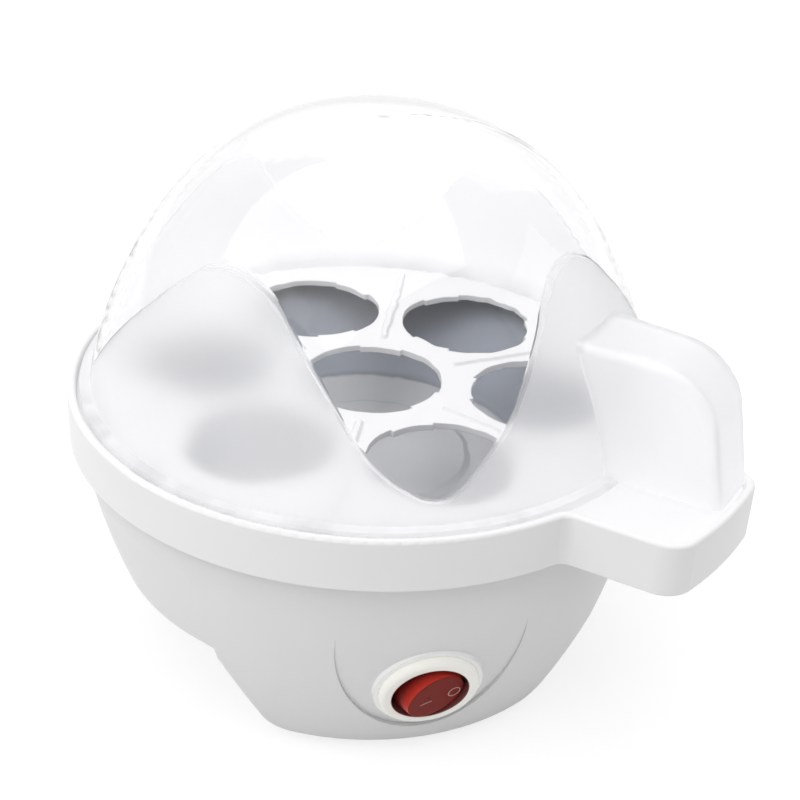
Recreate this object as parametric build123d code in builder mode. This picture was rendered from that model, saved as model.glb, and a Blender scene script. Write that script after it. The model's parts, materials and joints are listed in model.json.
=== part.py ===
from build123d import *
from math import asin, atan2, cos, degrees, hypot, radians, sin, sqrt, tan
import os

# Electric egg cooker, in millimetres.
# +Z is up, the table is at Z = 0 and the round body stands on the Z axis.
# The switch faces -Y.

# Base shell: a bulged cone that opens upwards, with an upright neck inside the skirt of the tray
shell_lift = 3.0
shell_flare = 14.1
shell_bulge = 3.0
shoulder_z = 63.5
shell_wall = 2.6
skirt_gap = 1.5
seam_angle = 20.0

# Side arches, which leave a broad foot at the front and one at the rear
arch_low_half_width = 36.5
arch_high_half_width = 50.3
arch_top_z = 27.5
arch_round = 4.0
foot_corner_round = 8.0

# Sunk panel above each arch, which fades out upwards
panel_depth = 2.8
panel_top_z = 55.0
panel_top_half_width = 57.8

# Shallow scoop round the switch, which fades out upwards
scoop_half_width = 24.5
scoop_half_height = 34.5
scoop_centre_z = 44.0
scoop_depth = 1.2
scoop_top_z = 46.0

# Water pan of thin sheet, hung in the neck by its rim
pan_sheet = 0.8
pan_depth = 19.3
pan_rim_width = 5.2
pan_floor_share = 0.657
pan_bend = 4.0
plateau_share = 0.587
plateau_run = 2.0
plateau_rise = 1.2
plateau_bend = 1.2
pan_rim_gap = 0.6
pan_rim_drop = 2.7
seal_height = 1.0
ledge_height = 2.5
stud_radius = 1.5
stud_offset = 13.0

# Heater under the pan
spreader_height = 2.0
element_ring_share = 0.826
element_tube_radius = 3.25
element_flat = 0.4
element_gap_angle = 60.0
element_margin = 2.2
elbow_radius = 3.9
leg_radius = 2.6
leg_length = 9.0
pin_radius = 1.2
pin_length = 4.0

# Clamp bar across the base, with its posts, screws and nuts
bar_height = 1.2
bar_width = 14.0
bar_drop = 1.6
clamp_post_inset = 9.45
clamp_post_radius = 4.4
clamp_post_height = 16.0
rib_thickness = 2.4
rib_bite = 0.8
screw_radius = 1.5
screw_head_radius = 2.8
screw_head_height = 1.8
screw_length = 10.0
nut_size = 3.2
nut_height = 2.4
fit_gap = 0.05
hole_gap = 0.2

# Thermostat and thermal fuse on the bar
thermostat_radius = 8.0
thermostat_body_height = 6.0
thermostat_cap_radius = 6.6
tab_width = 4.8
tab_thickness = 0.8
tab_reach = 10.0
fuse_offset = 22.0
fuse_radius = 2.6
fuse_length = 12.0
fuse_pin_radius = 0.6
fuse_pin_length = 1.0
clip_sheet = 0.6
clip_width = 5.0
clip_foot = 3.0

# Bottom cover: a trough between the feet with a ledge on each side
foot_height = 3.0
foot_radius = 5.0
foot_x = 25.0
foot_inset = 28.3
cover_sheet = 2.0
cover_gap = 0.4
cover_ledge_rise = 1.5
trough_half_width = 33.0
vent_length = 20.0
vent_width = 2.4
vent_pitch = 7.0
vent_count = 5
cover_post_inset = 11.3
cover_post_x_inset = 10.6
cover_post_radius = 3.5
cover_post_height = 19.0

# Round rocker switch on a raised boss
switch_z = 27.1
switch_tilt = 16.0
switch_boss_radius = 14.2
switch_boss_rise = 0.4
switch_boss_depth = 5.0
bezel_radius = 13.0
bezel_height = 2.2
bezel_round = 1.3
barrel_radius = 10.9
barrel_wall = 0.9
barrel_depth = 16.0
barrel_floor = 1.5
barrel_gap = 0.15
snap_height = 0.9
snap_length = 4.0
snap_width = 5.0
hinge_depth = 1.0
rocker_half_tilt = 16.0
rocker_half_length = 8.9
rocker_half_width = 9.6
rocker_skirt = 3.0
rocker_middle_rise = 4.2
rocker_dish = 0.3
rocker_top_half_length = 7.9
rocker_top_half_width = 7.4
rocker_wall = 1.5
rocker_round = 0.5
rocker_pin_radius = 1.2
rocker_pin_reach = 0.7
stem_radius = 2.2
stem_reach = 7.5
plunger_radius = 1.5
plunger_reach = 9.5
plunger_length = 4.5
spring_height = 4.0
spring_wire = 0.5
lever_depth = 11.0
lever_half_tilt = 8.0
lever_half_length = 6.5
lever_width = 5.0
lever_thickness = 0.6
lever_pivot_radius = 0.8
blade_pitch = 6.0
blade_tail = 8.0
blade_gap = 0.15
lamp_radius = 1.8
lamp_height = 8.0
lamp_offset = 7.0

# Terminal block and inner leads
block_width = 22.0
block_depth = 14.0
block_height = 12.0
block_side_entry = 4.9
block_round = 1.0
pole_pitch = 6.0
pole_height = 6.0
pole_hole_radius = 1.6
pole_screw_radius = 1.7
lead_radius = 1.1
lead_entry = 5.0
lead_bend = 4.5
earth_lead_gap = 1.6
lug_inset = 18.0
lug_radius = 4.2
lug_sheet = 0.8
lug_tongue_width = 4.0
lug_tongue_reach = 12.0

# Cord gland in the rear wall
gland_z = 14.0
gland_bore_radius = 3.4
gland_barrel_radius = 5.5
gland_flange_radius = 7.5
gland_flange_height = 1.8
gland_lip_height = 2.0
gland_lip_rise = 0.8
gland_boss_radius = 9.0
gland_boss_rise = 1.2
gland_boss_depth = 4.0

# Egg tray
plate_z = 76.3
plate_thickness = 1.7
tray_radius = 82.3
tray_wall = 2.4
tray_rim_rise = 2.4
tray_skirt_z = 64.7
tray_edge_round = 0.9
hole_circle_radius = 46.0
hole_radius = 19.4
hole_count = 6
hole_turn = -20.9
tab_inward = 1.1
tab_half_angle = 18.0
bead_inner_radius = 24.0
bead_inset = 9.9
bead_width = 2.4
bead_rise = 0.9
tray_ear_reach = 26.2
tray_ear_half_width = 24.9
tray_ear_taper = 0.149
tray_ear_corner = 8.0
tray_ear_root = 4.0

# Domed lid with its hollow ear
lid_wall = 2.0
lid_flange_width = 2.7
lid_height = 73.1
lid_rise_power = 1.31
lid_round_power = 2.64
lid_flange_gap = 0.9
lid_flange_height = 2.6
lid_ear_turn = 5.0
lid_ear_length = 29.0
lid_ear_top_z = 112.5
lid_ear_lean = 7.0
lid_ear_shoulder = 17.0
lid_ear_end_half_width = 9.6
lid_ear_taper = 0.06
lid_ear_edge_round = 3.0
lid_ear_gap = 2.2

# Levels and places that follow from the sizes above
rim_z = plate_z - plate_thickness
panel_end_z = panel_top_z + 2 * shell_wall
scoop_low_z = scoop_centre_z - scoop_half_height
tray_inner_radius = tray_radius - tray_wall
tray_ear_radius = tray_radius + tray_ear_reach
bead_outer_radius = tray_inner_radius - bead_inset
shell_high_radius = tray_inner_radius - skirt_gap
shell_low_radius = shell_high_radius - shell_flare
neck_inner_radius = shell_high_radius - shell_wall
foot_y = shell_low_radius - foot_inset
cover_post_circle = shell_low_radius - cover_post_inset
cover_post_angle = degrees(asin((trough_half_width - cover_post_x_inset) / cover_post_circle))
pan_rim_radius = neck_inner_radius - pan_rim_gap
pan_wall_top_radius = pan_rim_radius - pan_rim_width
pan_floor_radius = pan_wall_top_radius * pan_floor_share
plateau_radius = pan_floor_radius * plateau_share
element_ring_radius = pan_floor_radius * element_ring_share
pan_rim_z = rim_z - pan_rim_drop
pan_floor_z = pan_rim_z - pan_depth
pan_under_z = pan_floor_z - pan_sheet
plateau_under_z = pan_under_z + plateau_rise
pan_wall_angle = degrees(atan2(pan_depth, pan_wall_top_radius - pan_floor_radius))
seal_z = pan_rim_z - pan_sheet - seal_height
seal_inner_radius = pan_wall_top_radius + pan_bend * tan(radians(pan_wall_angle / 2)) + hole_gap
ledge_z = seal_z - ledge_height
ledge_low_z = ledge_z - (neck_inner_radius - seal_inner_radius)
spreader_z = pan_under_z - spreader_height
element_z = spreader_z + element_flat - element_tube_radius
leg_end_z = element_z - leg_length
pin_end_z = leg_end_z - pin_length
bar_top_z = element_z - element_tube_radius - bar_drop
bar_under_z = bar_top_z - bar_height
fuse_z = bar_top_z + fuse_radius + fit_gap
trough_floor_z = foot_height
trough_top_z = trough_floor_z + cover_sheet
cover_ledge_z = arch_top_z + cover_ledge_rise
tray_top_z = plate_z + tray_rim_rise
lid_flange_radius = tray_inner_radius - lid_flange_gap
lid_base_radius = lid_flange_radius - lid_flange_width
lid_ear_reach = lid_base_radius + lid_ear_length
dome_z = plate_z + lid_flange_height
lid_ear_under_z = plate_z + lid_ear_gap
tray_ear_angle = hole_turn - 180 / hole_count
lid_ear_angle = tray_ear_angle + lid_ear_turn
element_end_x = element_ring_radius * sin(radians(element_gap_angle / 2))
element_end_y = element_ring_radius * cos(radians(element_gap_angle / 2))
block_front_y = element_end_y - block_side_entry
pole_z = trough_top_z + pole_height
far = 4 * tray_radius


def outer_radius(z):
    """Radius of the outside of the shell at height z."""
    part = (z - shell_lift) / (shoulder_z - shell_lift)
    straight = shell_low_radius + part * (shell_high_radius - shell_low_radius)
    return straight + 4 * shell_bulge * part * (1 - part)


def inner_radius(z):
    """Radius of the inside of the shell at height z."""
    return outer_radius(z) - shell_wall


def wall_middle_radius(z):
    """Radius of the middle of the shell's wall at height z."""
    return outer_radius(z) - shell_wall / 2


def panel_radius(z):
    """Radius of the outside of the sunk side panels at height z."""
    return outer_radius(z) - panel_depth * (panel_top_z - z) / (panel_top_z - arch_top_z)


def panel_inner_radius(z):
    """Radius of the inside of the sunk side panels at height z."""
    return panel_radius(z) - shell_wall


def scoop_radius(z):
    """Radius of the scoop round the switch at height z."""
    return outer_radius(z) - scoop_depth * (scoop_top_z - z) / (scoop_top_z - scoop_low_z)


def wall_tilt(z):
    """Angle in degrees by which the outside of the shell leans out at height z."""
    return degrees(atan2(outer_radius(z + 1) - outer_radius(z - 1), 2))


def wall_curve(radius_at, low_z, high_z):
    """Control points of the curved line of a wall between two heights."""
    low_radius = radius_at(low_z)
    high_radius = radius_at(high_z)
    middle_z = (low_z + high_z) / 2
    control_radius = 2 * radius_at(middle_z) - (low_radius + high_radius) / 2
    return [(low_radius, low_z), (control_radius, middle_z), (high_radius, high_z)]


def radial_plane(angle):
    """Upright plane through the axis: its x runs outwards at that angle, its y is up."""
    across = radians(angle)
    return Plane(origin=(0, 0, 0), x_dir=(cos(across), sin(across), 0), z_dir=(sin(across), -cos(across), 0))


# Plane in which the round walls are drawn, clear of the feet, posts and openings
seam_plane = radial_plane(seam_angle)


def level_plane(angle, z, reach=0.0):
    """Level plane at height z, out from the axis by reach, with its x outwards at that angle."""
    along = radians(angle)
    heading = (cos(along), sin(along), 0)
    return Plane(origin=(reach * heading[0], reach * heading[1], z), x_dir=heading, z_dir=(0, 0, 1))


def outside_of(radius_at, high_z):
    """Everything outside a wall, from the table up to a height."""
    with BuildPart() as ring:
        with BuildSketch(seam_plane):
            with BuildLine():
                Bezier(*wall_curve(radius_at, 0, high_z))
                Polyline((radius_at(high_z), high_z), (far, high_z), (far, 0), (radius_at(0), 0))
            make_face()
        revolve(axis=Axis.Z)
    return ring.part


def beside_feet(inset):
    """Everything beside the two feet, up past the top of the side panels, widened by inset."""
    with BuildPart() as block:
        with BuildSketch(Plane.XZ):
            for side in (1, -1):
                with BuildLine():
                    Polyline(
                        (side * (arch_low_half_width - inset), 0),
                        (side * (arch_low_half_width - inset), shell_lift),
                        (side * (arch_high_half_width - inset), arch_top_z),
                        (side * (panel_top_half_width - inset), panel_top_z),
                        (side * (panel_top_half_width - inset), shoulder_z),
                        (side * far, shoulder_z),
                        (side * far, 0),
                        close=True,
                    )
                make_face()
        extrude(amount=far, both=True)
    return block.part


def wall_post(angle, circle, radius, z, height):
    """Screw post inside the shell, tied to the wall by a rib."""
    with BuildPart() as post:
        with BuildSketch(level_plane(angle, z, circle)):
            Circle(radius)
        extrude(amount=height)
        with BuildSketch(radial_plane(angle)):
            with BuildLine():
                Polyline(
                    (circle, z),
                    (inner_radius(z) + rib_bite, z),
                    (inner_radius(z + height) + rib_bite, z + height),
                    (circle, z + height),
                    close=True,
                )
            make_face()
        extrude(amount=rib_thickness / 2, both=True)
        with BuildSketch(level_plane(angle, z, circle)):
            Circle(screw_radius + fit_gap)
        extrude(amount=screw_length + hole_gap, mode=Mode.SUBTRACT)
    return post.part


def dome_points(radius, height, steps=9):
    """Outline of the dome from its rim up to its top."""
    points = []
    for step in range(steps + 1):
        turn = radians(90 * step / steps)
        across = radius * max(cos(turn), 0) ** (2 / lid_round_power)
        up = height * sin(turn) ** (2 / lid_rise_power)
        points.append((across if step < steps else 0, dome_z + up))
    return points


# Switch frame: its z points out of the front wall, its x to the right, its y up the wall
switch_out = (0, -cos(radians(switch_tilt)), -sin(radians(switch_tilt)))
wall_plane = Plane(origin=(0, -scoop_radius(switch_z), switch_z), x_dir=(1, 0, 0), z_dir=switch_out)
switch_plane = wall_plane.offset(switch_boss_rise)
switch_side = Plane(origin=switch_plane.origin, x_dir=switch_plane.x_dir, z_dir=-switch_plane.y_dir)


def switch_point(x, y, depth):
    """Point in the switch frame, depth below the face that the bezel sits on."""
    return switch_plane.from_local_coords((x, y, -depth))


def tilted_plane(depth, tilt):
    """Plane across the switch at a depth, turned about the up direction so that its right side goes in."""
    along = switch_plane.x_dir * cos(radians(tilt)) - switch_plane.z_dir * sin(radians(tilt))
    out = switch_plane.x_dir * sin(radians(tilt)) + switch_plane.z_dir * cos(radians(tilt))
    return Plane(origin=switch_point(0, 0, depth), x_dir=along, z_dir=out)


# Cord gland frame: its z points out of the rear wall
gland_tilt = radians(wall_tilt(gland_z))
gland_out = (0, cos(gland_tilt), -sin(gland_tilt))
gland_plane = Plane(origin=(0, outer_radius(gland_z), gland_z), x_dir=(-1, 0, 0), z_dir=gland_out)

# Screw places
clamp_post_offset = inner_radius(bar_top_z) - clamp_post_inset
lug_offset = clamp_post_offset - lug_inset
cover_post_angles = [side * 90 + turn * cover_post_angle for side in (1, -1) for turn in (1, -1)]
clamp_post_angles = [0, 180]

# Base shell
with BuildPart() as side_panels:
    with BuildSketch(seam_plane):
        with BuildLine():
            Bezier(*wall_curve(wall_middle_radius, 0, panel_end_z))
            Line(
                (wall_middle_radius(panel_end_z), panel_end_z),
                (panel_inner_radius(panel_end_z), panel_end_z),
            )
            Bezier(*wall_curve(panel_inner_radius, 0, panel_end_z))
            Line((panel_inner_radius(0), 0), (wall_middle_radius(0), 0))
        make_face()
    revolve(axis=Axis.Z)
    add(beside_feet(shell_wall), mode=Mode.INTERSECT)

with BuildPart() as panel_recess:
    add(outside_of(panel_radius, panel_end_z))
    add(beside_feet(0), mode=Mode.INTERSECT)

with BuildPart() as switch_scoop:
    with BuildSketch(Plane.XZ):
        with Locations((0, scoop_centre_z)):
            Ellipse(scoop_half_width, scoop_half_height)
            Rectangle(2 * scoop_half_width, scoop_half_height, align=(Align.CENTER, Align.MIN))
    extrude(amount=far)
    add(outside_of(scoop_radius, scoop_top_z), mode=Mode.INTERSECT)

with BuildPart() as base_shell:
    with BuildSketch(seam_plane):
        with BuildLine():
            Bezier(*wall_curve(outer_radius, 0, shoulder_z))
            Polyline(
                (shell_high_radius, shoulder_z),
                (shell_high_radius, rim_z),
                (neck_inner_radius, rim_z),
                (neck_inner_radius, seal_z),
                (seal_inner_radius, seal_z),
                (seal_inner_radius, ledge_z),
                (inner_radius(ledge_low_z), ledge_low_z),
            )
            Bezier(*wall_curve(inner_radius, 0, ledge_low_z))
            Line((inner_radius(0), 0), (outer_radius(0), 0))
        make_face()
    revolve(axis=Axis.Z)
    add(side_panels.part)
    add(panel_recess.part, mode=Mode.SUBTRACT)
    add(switch_scoop.part, mode=Mode.SUBTRACT)
    with BuildSketch(Plane.XZ):
        for side in (1, -1):
            with BuildLine():
                FilletPolyline(
                    (0, shell_lift),
                    (side * arch_low_half_width, shell_lift),
                    (side * arch_high_half_width, arch_top_z),
                    (side * far, arch_top_z),
                    radius=[foot_corner_round, arch_round],
                )
                Polyline(
                    (side * far, arch_top_z),
                    (side * far, -shell_lift),
                    (0, -shell_lift),
                    (0, shell_lift),
                )
            make_face()
    extrude(amount=far, both=True, mode=Mode.SUBTRACT)
    with BuildSketch(wall_plane.offset(-switch_boss_depth)):
        Circle(switch_boss_radius)
    extrude(amount=switch_boss_depth + switch_boss_rise)
    with BuildSketch(wall_plane.offset(switch_boss_rise)):
        Circle(barrel_radius + barrel_gap)
    extrude(amount=-far / 8, mode=Mode.SUBTRACT)
    with BuildSketch(gland_plane.offset(-gland_boss_depth)):
        Circle(gland_boss_radius)
    extrude(amount=gland_boss_depth + gland_boss_rise)
    with BuildSketch(gland_plane.offset(gland_boss_rise)):
        Circle(gland_barrel_radius + fit_gap)
    extrude(amount=-far / 8, mode=Mode.SUBTRACT)
    for angle in cover_post_angles:
        add(wall_post(angle, cover_post_circle, cover_post_radius, trough_top_z, cover_post_height))
    for angle in clamp_post_angles:
        add(wall_post(angle, clamp_post_offset, clamp_post_radius, bar_top_z, clamp_post_height))


def cover_radius(z):
    """Radius of the bottom cover between the feet at height z."""
    return inner_radius(z) - cover_gap


# Bottom cover
cover_ledge_radius = panel_inner_radius(cover_ledge_z) - cover_gap
with BuildPart() as bottom_cover:
    with BuildSketch(Plane.XZ):
        with BuildLine():
            Polyline(
                (-far, cover_ledge_z),
                (-trough_half_width, cover_ledge_z),
                (-trough_half_width, trough_floor_z),
                (trough_half_width, trough_floor_z),
                (trough_half_width, cover_ledge_z),
                (far, cover_ledge_z),
                (far, cover_ledge_z + cover_sheet),
                (trough_half_width - cover_sheet, cover_ledge_z + cover_sheet),
                (trough_half_width - cover_sheet, trough_top_z),
                (cover_sheet - trough_half_width, trough_top_z),
                (cover_sheet - trough_half_width, cover_ledge_z + cover_sheet),
                (-far, cover_ledge_z + cover_sheet),
                close=True,
            )
        make_face()
    extrude(amount=far, both=True)
    with BuildSketch(Plane.XZ):
        with BuildLine():
            Bezier(*wall_curve(cover_radius, 0, cover_ledge_z))
            Polyline(
                (cover_radius(cover_ledge_z), cover_ledge_z),
                (cover_ledge_radius, cover_ledge_z),
                (cover_ledge_radius, shoulder_z),
                (0, shoulder_z),
                (0, 0),
                (cover_radius(0), 0),
            )
        make_face()
    revolve(axis=Axis.Z, mode=Mode.INTERSECT)
    with BuildSketch(Plane.XY):
        with GridLocations(0, vent_pitch, 1, vent_count):
            SlotOverall(vent_length, vent_width)
        with PolarLocations(cover_post_circle, 1, 90 + cover_post_angle):
            Circle(screw_radius + hole_gap)
        with PolarLocations(cover_post_circle, 1, 90 - cover_post_angle):
            Circle(screw_radius + hole_gap)
        mirror(about=Plane.XZ)
    extrude(amount=trough_top_z + hole_gap, mode=Mode.SUBTRACT)

with BuildPart() as cover_screws:
    for angle in cover_post_angles:
        with BuildSketch(level_plane(angle, trough_floor_z, cover_post_circle)):
            Circle(screw_head_radius)
        extrude(amount=-screw_head_height)
        with BuildSketch(level_plane(angle, trough_floor_z, cover_post_circle)):
            Circle(screw_radius)
        extrude(amount=screw_length)

with BuildPart() as rubber_feet:
    with BuildSketch(Plane.XY):
        with GridLocations(2 * foot_x, 2 * foot_y, 2, 2):
            Circle(foot_radius)
    extrude(amount=foot_height)

# Water pan, its seal and its two studs
pan_line = [
    (0, pan_floor_z + plateau_rise),
    (plateau_radius, pan_floor_z + plateau_rise),
    (plateau_radius + plateau_run, pan_floor_z),
    (pan_floor_radius, pan_floor_z),
    (pan_wall_top_radius, pan_rim_z),
    (pan_rim_radius, pan_rim_z),
]
pan_bends = [plateau_bend, plateau_bend, pan_bend, pan_bend]

with BuildPart() as heater_pan:
    with BuildSketch(Plane.XZ):
        with BuildLine():
            FilletPolyline(*pan_line, radius=pan_bends)
            Line((pan_rim_radius, pan_rim_z), (pan_rim_radius, pan_rim_z - pan_sheet))
            FilletPolyline(*[(x, z - pan_sheet) for x, z in pan_line], radius=pan_bends)
            Line((0, plateau_under_z), (0, plateau_under_z + pan_sheet))
        make_face()
    revolve(axis=Axis.Z)
    with BuildSketch(Plane.XY.offset(bar_under_z - nut_height)):
        with GridLocations(2 * stud_offset, 0, 2, 1):
            Circle(stud_radius)
    extrude(until=Until.NEXT)

with BuildPart() as pan_seal:
    with BuildSketch(Plane.XY.offset(seal_z)):
        Circle(pan_rim_radius)
        Circle(seal_inner_radius, mode=Mode.SUBTRACT)
    extrude(amount=seal_height)

# Heating element: an open ring with a leg at each end, brazed under a spreader
with BuildPart() as heat_spreader:
    with BuildSketch(Plane.XY.offset(spreader_z)):
        Circle(element_ring_radius + element_tube_radius + element_margin)
        Circle(element_ring_radius - element_tube_radius - element_margin, mode=Mode.SUBTRACT)
    extrude(amount=spreader_height)

with BuildPart() as heating_element:
    with BuildSketch(radial_plane(90 + element_gap_angle / 2)):
        with Locations((element_ring_radius, element_z)):
            Circle(element_tube_radius)
    revolve(axis=Axis.Z, revolution_arc=360 - element_gap_angle)
    with Locations((element_end_x, element_end_y, element_z), (-element_end_x, element_end_y, element_z)):
        Sphere(elbow_radius)
        Cylinder(leg_radius, leg_length, align=(Align.CENTER, Align.CENTER, Align.MAX))
    split(bisect_by=Plane.XY.offset(spreader_z), keep=Keep.BOTTOM)

with BuildPart() as element_pins:
    with BuildSketch(Plane.XY.offset(pin_end_z)):
        with Locations((element_end_x, element_end_y), (-element_end_x, element_end_y)):
            Circle(pin_radius)
    extrude(amount=pin_length)

# Clamp bar, its screws and the nuts on the pan's studs
with BuildPart() as clamp_bar:
    with BuildSketch(Plane.XY.offset(bar_under_z)):
        SlotOverall(2 * (clamp_post_offset + clamp_post_radius), bar_width)
        with GridLocations(2 * clamp_post_offset, 0, 2, 1):
            Circle(screw_radius + hole_gap, mode=Mode.SUBTRACT)
        with GridLocations(2 * stud_offset, 0, 2, 1):
            Circle(stud_radius + hole_gap, mode=Mode.SUBTRACT)
        with Locations((lug_offset, 0)):
            Circle(screw_radius + hole_gap, mode=Mode.SUBTRACT)
    extrude(amount=bar_height)

with BuildPart() as clamp_screws:
    with BuildSketch(Plane.XY.offset(bar_under_z)):
        with GridLocations(2 * clamp_post_offset, 0, 2, 1):
            Circle(screw_head_radius)
    extrude(amount=-screw_head_height)
    with BuildSketch(Plane.XY.offset(bar_under_z)):
        with GridLocations(2 * clamp_post_offset, 0, 2, 1):
            Circle(screw_radius)
    extrude(amount=screw_length)

with BuildPart() as stud_nuts:
    with BuildSketch(Plane.XY.offset(bar_under_z)):
        with GridLocations(2 * stud_offset, 0, 2, 1):
            RegularPolygon(nut_size, 6)
            Circle(stud_radius + fit_gap, mode=Mode.SUBTRACT)
    extrude(amount=-nut_height)

# Thermostat on the middle of the bar, pressed on the plateau of the pan
with BuildPart() as thermostat:
    with BuildSketch(Plane.XY.offset(bar_top_z)):
        Circle(thermostat_radius)
    extrude(amount=thermostat_body_height)
    with BuildSketch(Plane.XY.offset(bar_top_z)):
        Circle(thermostat_cap_radius)
    extrude(amount=plateau_under_z - bar_top_z)
    with BuildSketch(Plane.XY.offset(fuse_z - tab_thickness / 2)):
        Rectangle(tab_width, 2 * (thermostat_radius + tab_reach))
    extrude(amount=tab_thickness)

# Thermal fuse and its clip
with BuildPart() as thermal_fuse:
    with BuildSketch(Plane.XZ):
        with Locations((fuse_offset, fuse_z)):
            Circle(fuse_radius)
    extrude(amount=fuse_length / 2, both=True)
    with BuildSketch(Plane.XZ):
        with Locations((fuse_offset, fuse_z)):
            Circle(fuse_pin_radius)
    extrude(amount=fuse_length / 2 + fuse_pin_length, both=True)

clip_inner = fuse_radius + 2 * fit_gap
clip_outer = clip_inner + clip_sheet
with BuildPart() as fuse_clip:
    with BuildSketch(Plane.XZ):
        with Locations((fuse_offset, fuse_z)):
            Circle(clip_outer)
        with Locations((fuse_offset, bar_top_z)):
            Rectangle(2 * clip_outer, fuse_z - bar_top_z, align=(Align.CENTER, Align.MIN))
            Rectangle(2 * (clip_outer + clip_foot), clip_sheet, align=(Align.CENTER, Align.MIN))
        with Locations((fuse_offset, fuse_z)):
            Circle(clip_inner, mode=Mode.SUBTRACT)
            Rectangle(2 * clip_inner, 2 * clip_outer, align=(Align.CENTER, Align.MAX), mode=Mode.SUBTRACT)
    extrude(amount=clip_width / 2, both=True)

# Switch housing: bezel, barrel, floor, hinge sockets and snap wedges
with BuildPart() as switch_housing:
    with BuildSketch(switch_plane):
        Circle(bezel_radius)
    extrude(amount=bezel_height)
    bezel_top = switch_housing.faces().sort_by(Axis(switch_plane.origin, switch_plane.z_dir))[-1]
    fillet(bezel_top.edges(), bezel_round)
    with BuildSketch(switch_plane):
        Circle(barrel_radius)
    extrude(amount=-barrel_depth)
    with BuildSketch(switch_plane.offset(bezel_height)):
        Circle(barrel_radius - barrel_wall)
    extrude(amount=barrel_floor - barrel_depth - bezel_height, mode=Mode.SUBTRACT)
    snap_top = -switch_boss_depth - switch_boss_rise - barrel_gap
    snap_root = barrel_radius - barrel_wall / 2
    for side in (1, -1):
        with BuildSketch(switch_side):
            with BuildLine():
                Polyline(
                    (side * snap_root, snap_top),
                    (side * (barrel_radius + snap_height), snap_top),
                    (side * barrel_radius, snap_top - snap_length),
                    (side * snap_root, snap_top - snap_length),
                    close=True,
                )
            make_face()
        extrude(amount=snap_width / 2, both=True)
    with BuildSketch(switch_side):
        with Locations((0, -hinge_depth)):
            Circle(rocker_pin_radius + fit_gap)
    extrude(amount=barrel_radius + barrel_wall / 2, both=True, mode=Mode.SUBTRACT)
    with BuildSketch(switch_plane.offset(-barrel_depth)):
        with GridLocations(blade_pitch, 0, 3, 1):
            Rectangle(tab_thickness + 2 * blade_gap, tab_width + 2 * blade_gap)
    extrude(amount=barrel_floor, mode=Mode.SUBTRACT)

# Rocker, shown with its right side pressed in
rocker_plane = tilted_plane(hinge_depth, rocker_half_tilt)
rocker_side = Plane(origin=rocker_plane.origin, x_dir=rocker_plane.x_dir, z_dir=-rocker_plane.y_dir)
rocker_edge = rocker_half_length + rocker_round
rocker_end_rise = rocker_middle_rise + rocker_dish
with BuildPart() as switch_rocker:
    with BuildSketch(rocker_plane.offset(-rocker_skirt)):
        Ellipse(rocker_half_length, rocker_half_width)
    extrude(amount=rocker_skirt)
    with BuildSketch(rocker_plane):
        Ellipse(rocker_half_length, rocker_half_width)
    with BuildSketch(rocker_plane.offset(rocker_end_rise)):
        Ellipse(rocker_top_half_length, rocker_top_half_width)
    loft()
    with BuildSketch(rocker_side):
        with BuildLine():
            ThreePointArc(
                (-rocker_edge, rocker_end_rise),
                (0, rocker_middle_rise),
                (rocker_edge, rocker_end_rise),
            )
            Polyline(
                (rocker_edge, rocker_end_rise),
                (rocker_edge, -rocker_skirt),
                (-rocker_edge, -rocker_skirt),
                (-rocker_edge, rocker_end_rise),
            )
        make_face()
    extrude(amount=2 * rocker_half_width, both=True, mode=Mode.INTERSECT)
    with BuildSketch(rocker_plane.offset(-rocker_skirt)):
        Ellipse(rocker_half_length - rocker_wall, rocker_half_width - rocker_wall)
    extrude(amount=rocker_skirt, mode=Mode.SUBTRACT)
    with BuildSketch(rocker_plane):
        Ellipse(rocker_half_length - rocker_wall, rocker_half_width - rocker_wall)
    with BuildSketch(rocker_plane.offset(rocker_middle_rise - rocker_wall)):
        Ellipse(rocker_top_half_length - rocker_wall, rocker_top_half_width - rocker_wall)
    loft(mode=Mode.SUBTRACT)
    with BuildSketch(rocker_plane.offset(-stem_reach)):
        Circle(stem_radius)
    extrude(amount=stem_reach + rocker_middle_rise - rocker_wall / 2)
    with BuildSketch(rocker_plane.offset(-stem_reach)):
        Circle(plunger_radius + fit_gap)
    extrude(amount=stem_reach - plunger_reach + plunger_length + spring_height, mode=Mode.SUBTRACT)
    for side in (1, -1):
        with BuildSketch(rocker_side.offset(side * (rocker_half_width - rocker_wall / 2))):
            Circle(rocker_pin_radius)
        extrude(amount=side * (rocker_wall / 2 + rocker_pin_reach))

with BuildPart() as switch_plunger:
    with BuildSketch(rocker_plane.offset(-plunger_reach)):
        Circle(plunger_radius)
    extrude(amount=plunger_length)
    tip = switch_plunger.faces().sort_by(Axis(rocker_plane.origin, rocker_plane.z_dir))[0]
    fillet(tip.edges(), plunger_radius - fit_gap)

with BuildPart() as plunger_spring:
    with BuildSketch(rocker_plane.offset(plunger_length - plunger_reach)):
        Circle(plunger_radius - fit_gap)
        Circle(plunger_radius - fit_gap - spring_wire, mode=Mode.SUBTRACT)
    extrude(amount=spring_height)

# Rocking contact, blades and lamp inside the switch
lever_plane = tilted_plane(lever_depth, -lever_half_tilt)
with BuildPart() as contact_lever:
    with BuildSketch(lever_plane.offset(-lever_thickness / 2)):
        SlotOverall(2 * lever_half_length, lever_width)
    extrude(amount=lever_thickness)
    with BuildSketch(Plane(origin=lever_plane.origin, x_dir=lever_plane.x_dir, z_dir=-lever_plane.y_dir)):
        Circle(lever_pivot_radius)
        Rectangle(
            2 * lever_pivot_radius,
            lever_pivot_radius,
            align=(Align.CENTER, Align.MIN),
            mode=Mode.SUBTRACT,
        )
    extrude(amount=lever_width / 2, both=True)

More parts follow.
